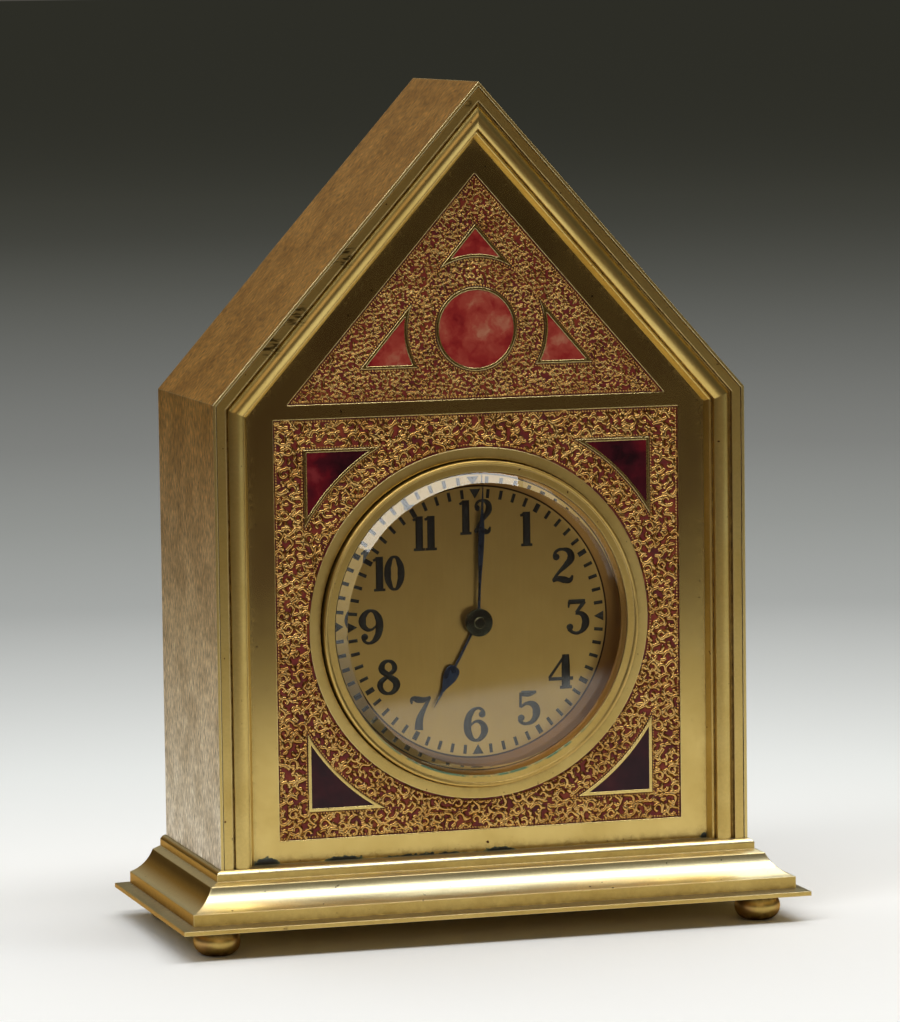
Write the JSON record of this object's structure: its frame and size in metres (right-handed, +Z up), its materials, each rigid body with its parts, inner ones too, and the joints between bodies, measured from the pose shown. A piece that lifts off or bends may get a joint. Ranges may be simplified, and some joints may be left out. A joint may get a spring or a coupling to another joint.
{
  "type": "steeple desk clock",
  "caption": "Small gilt desk clock in a pointed gable case with enamelled etched front, round glazed dial, bun feet, hinged back door and a wind-up lever movement.",
  "frame": {"origin": "on the table under the feet, midway across the width and midway along the depth of the base plate", "axes": "+X to the right as the dial is read, +Y from the dial towards the back, +Z up"},
  "size_m": [0.1064, 0.0496, 0.1394],
  "materials": {
    "gilt_sheet": "brushed gilt sheet, toned brown",
    "gilt_cast": "worn gilding over cast brass",
    "gilt_panel": "satin gilding, dirt in the corners",
    "maroon_enamel": "maroon enamel ground between etched gilt scrolls",
    "rose_enamel": "rose red enamel with pale clouds",
    "garnet_enamel": "dark garnet enamel",
    "lacquered_brass": "lacquered brass sheet",
    "dial_brass": "fine satin gilding with painted numerals",
    "glass": "clear bevelled glass",
    "blued_steel": "blued steel",
    "boss_brass": "polished brass",
    "movement_brass": "grained brass",
    "steel": "polished steel",
    "key_brass": "handled brass"
  },
  "bodies": {
    "case": {"case_shell": "gilt_sheet", "front_frame": "gilt_cast", "base_moulding": "gilt_cast", "base_plate": "gilt_cast", "feet": "gilt_cast", "bezel": "gilt_cast", "front_panel": "gilt_panel", "enamel_ground": "maroon_enamel", "enamel_roundel": "rose_enamel", "enamel_gable_corners": "rose_enamel", "enamel_spandrels": "garnet_enamel", "back_plate": "lacquered_brass", "hinge_leaf": "lacquered_brass", "movement_can": "lacquered_brass", "back_lugs": "lacquered_brass", "case_brackets": "lacquered_brass", "dial": "dial_brass", "glass": "glass", "movement_front_plate": "movement_brass", "movement_back_plate": "movement_brass", "pillars": "movement_brass", "bracket_screws": "steel", "back_plate_screws": "steel", "flange_screws": "steel", "can_screws": "steel", "pillar_nuts": "steel", "hinge_pin": "steel", "click_spring": "steel", "balance_pivot_screws": "steel", "hairspring": "steel"},
    "minute": {"centre_arbor": "steel", "centre_wheel": "movement_brass", "cannon_pinion": "steel", "minute_hand": "blued_steel", "hand_boss": "boss_brass", "set_knob": "key_brass"},
    "hour": {"hour_wheel": "movement_brass", "hour_hand": "blued_steel"},
    "motion": {"minute_wheel": "movement_brass"},
    "barrel": {"barrel": "movement_brass", "barrel_lid": "movement_brass", "mainspring": "steel"},
    "third": {"third_arbor": "steel", "third_wheel": "movement_brass"},
    "fourth": {"fourth_arbor": "steel", "fourth_wheel": "movement_brass"},
    "escape": {"escape_arbor": "steel", "escape_wheel": "movement_brass"},
    "pallet": {"pallet_lever": "steel", "pallet_arbor": "steel"},
    "balance": {"balance_wheel": "movement_brass", "balance_staff": "steel"},
    "winding": {"barrel_arbor": "steel", "ratchet_wheel": "steel", "winding_key": "key_brass"},
    "click": {"click": "steel"},
    "regulator": {"regulator": "movement_brass"},
    "door": {"back_door": "lacquered_brass", "door_knob": "lacquered_brass"}
  },
  "joints": [
    {"name": "minute_turn", "type": "hinge", "parent": "case", "child": "minute", "pos_m": [0, -0.0016, 0.0511], "axis": [0, 1, 0], "continuous": true},
    {"name": "hour_turn", "type": "hinge", "parent": "case", "child": "hour", "pos_m": [0, -0.0016, 0.0511], "axis": [0, 1, 0], "continuous": true},
    {"name": "motion_turn", "type": "hinge", "parent": "case", "child": "motion", "pos_m": [0.003, -0.0016, 0.0459], "axis": [0, 1, 0], "continuous": true},
    {"name": "barrel_turn", "type": "hinge", "parent": "case", "child": "barrel", "pos_m": [-0.00723, -0.0016, 0.04078], "axis": [0, 1, 0], "continuous": true},
    {"name": "third_turn", "type": "hinge", "parent": "case", "child": "third", "pos_m": [0.00936, -0.0016, 0.0511], "axis": [0, 1, 0], "continuous": true},
    {"name": "fourth_turn", "type": "hinge", "parent": "case", "child": "fourth", "pos_m": [0.01147, -0.0016, 0.05898], "axis": [0, 1, 0], "continuous": true},
    {"name": "escape_turn", "type": "hinge", "parent": "case", "child": "escape", "pos_m": [0.00524, -0.0016, 0.06258], "axis": [0, 1, 0], "continuous": true},
    {"name": "pallet_rock", "type": "hinge", "parent": "case", "child": "pallet", "pos_m": [0.00063, -0.0016, 0.06645], "axis": [0, 1, 0], "range_deg": [-4, 4]},
    {"name": "balance_swing", "type": "hinge", "parent": "case", "child": "balance", "pos_m": [-0.00804, -0.0016, 0.06492], "axis": [0, 1, 0], "range_deg": [-130, 130], "stiffness_Nm_per_rad": 0.000005},
    {"name": "winding_turn", "type": "hinge", "parent": "case", "child": "winding", "pos_m": [-0.00723, -0.0016, 0.04078], "axis": [0, 1, 0], "continuous": true},
    {"name": "click_lift", "type": "hinge", "parent": "case", "child": "click", "pos_m": [-0.01493, -0.0016, 0.03797], "axis": [0, 1, 0], "range_deg": [0, 8], "stiffness_Nm_per_rad": 0.002, "springref_deg": -17.19},
    {"name": "regulator_shift", "type": "hinge", "parent": "case", "child": "regulator", "pos_m": [-0.00804, -0.0016, 0.06492], "axis": [0, 1, 0], "range_deg": [-25, 25]},
    {"name": "door_swing", "type": "hinge", "parent": "case", "child": "door", "pos_m": [-0.0256, 0.02255, 0.0511], "axis": [0, 0, 1], "range_deg": [0, 120]}
  ],
  "couplings": [
    {"joint": "hour_turn", "follows": "minute_turn", "ratio": 0.083333},
    {"joint": "motion_turn", "follows": "minute_turn", "ratio": -0.33333},
    {"joint": "barrel_turn", "follows": "minute_turn", "ratio": -0.16667},
    {"joint": "third_turn", "follows": "minute_turn", "ratio": -8},
    {"joint": "fourth_turn", "follows": "minute_turn", "ratio": 60},
    {"joint": "escape_turn", "follows": "minute_turn", "ratio": -480}
  ]
}
